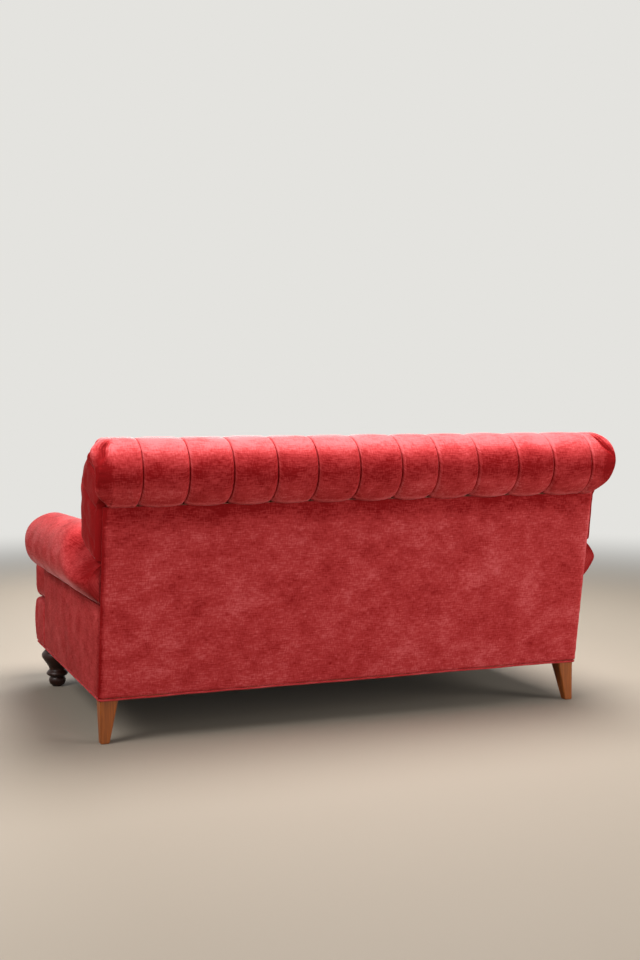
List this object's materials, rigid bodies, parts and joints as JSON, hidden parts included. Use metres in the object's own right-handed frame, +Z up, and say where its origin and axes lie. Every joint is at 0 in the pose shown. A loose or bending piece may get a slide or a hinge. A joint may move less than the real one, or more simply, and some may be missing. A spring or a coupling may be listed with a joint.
{
  "type": "settee",
  "caption": "Settee with a pleated scroll back, rolled arms, loose T-shaped seat cushions, turned front legs and tapered rear legs, upholstered in red velvet.",
  "frame": {"origin": "on the floor, under the middle of the overall box", "axes": "+Z up, +X to the sitter's left, -Y the way that the sitter faces"},
  "size_m": [1.774, 1.2727, 0.9096],
  "materials": {
    "red_velvet": "cut-pile velvet, crimson, slightly crushed, matt with a soft sheen",
    "deck_cloth": "plain woven deck cloth in a like red",
    "black_cambric": "black non-woven cambric",
    "jute_webbing": "plain woven jute webbing",
    "beech": "sawn beech, unfinished",
    "dark_stained_beech": "turned beech, very dark stain, satin lacquer",
    "red_brown_walnut": "red-brown stained hardwood, satin lacquer, straight grain",
    "spring_steel": "plain drawn steel wire and rod"
  },
  "bodies": {
    "frame": {"back_scroll": "red_velvet", "inside_back": "red_velvet", "outside_back": "red_velvet", "bottom_welt": "red_velvet", "front_border": "red_velvet", "wing_left": "red_velvet", "wing_right": "red_velvet", "arm_pad_left": "red_velvet", "arm_pad_right": "red_velvet", "arm_facing_left": "red_velvet", "arm_facing_right": "red_velvet", "outside_arm_left": "red_velvet", "outside_arm_right": "red_velvet", "seat_deck": "deck_cloth", "dust_cover": "black_cambric", "back_web_1": "jute_webbing", "back_web_2": "jute_webbing", "back_web_3": "jute_webbing", "back_web_4": "jute_webbing", "front_rail": "beech", "rear_rail": "beech", "cross_rail": "beech", "seat_stretcher": "beech", "back_lower_rail": "beech", "back_post_centre": "beech", "scroll_rail": "beech", "ear_rail_left": "beech", "ear_rail_right": "beech", "side_rail_left": "beech", "side_rail_right": "beech", "front_leg_block_left": "beech", "front_leg_block_right": "beech", "rear_leg_block_left": "beech", "rear_leg_block_right": "beech", "back_post_left": "beech", "back_post_right": "beech", "arm_stump_left": "beech", "arm_stump_right": "beech", "arm_top_rail_left": "beech", "arm_top_rail_right": "beech", "arm_tack_rail_left": "beech", "arm_tack_rail_right": "beech", "front_leg_left": "dark_stained_beech", "front_leg_right": "dark_stained_beech", "rear_leg_left": "red_brown_walnut", "rear_leg_right": "red_brown_walnut", "seat_spring_1": "spring_steel", "seat_spring_2": "spring_steel", "seat_spring_3": "spring_steel", "seat_spring_4": "spring_steel", "seat_spring_5": "spring_steel", "seat_spring_6": "spring_steel", "front_leg_bolt_left": "spring_steel", "front_leg_bolt_right": "spring_steel", "rear_leg_bolt_left": "spring_steel", "rear_leg_bolt_right": "spring_steel"},
    "seat_cushion_left": {"seat_cushion_left": "red_velvet"},
    "seat_cushion_right": {"seat_cushion_right": "red_velvet"}
  },
  "joints": [
    {"name": "seat_cushion_left_lift", "type": "slide", "parent": "frame", "child": "seat_cushion_left", "axis": [0, 0, 1], "range_m": [0, 0.36]},
    {"name": "seat_cushion_right_lift", "type": "slide", "parent": "frame", "child": "seat_cushion_right", "axis": [0, 0, 1], "range_m": [0, 0.36]}
  ]
}
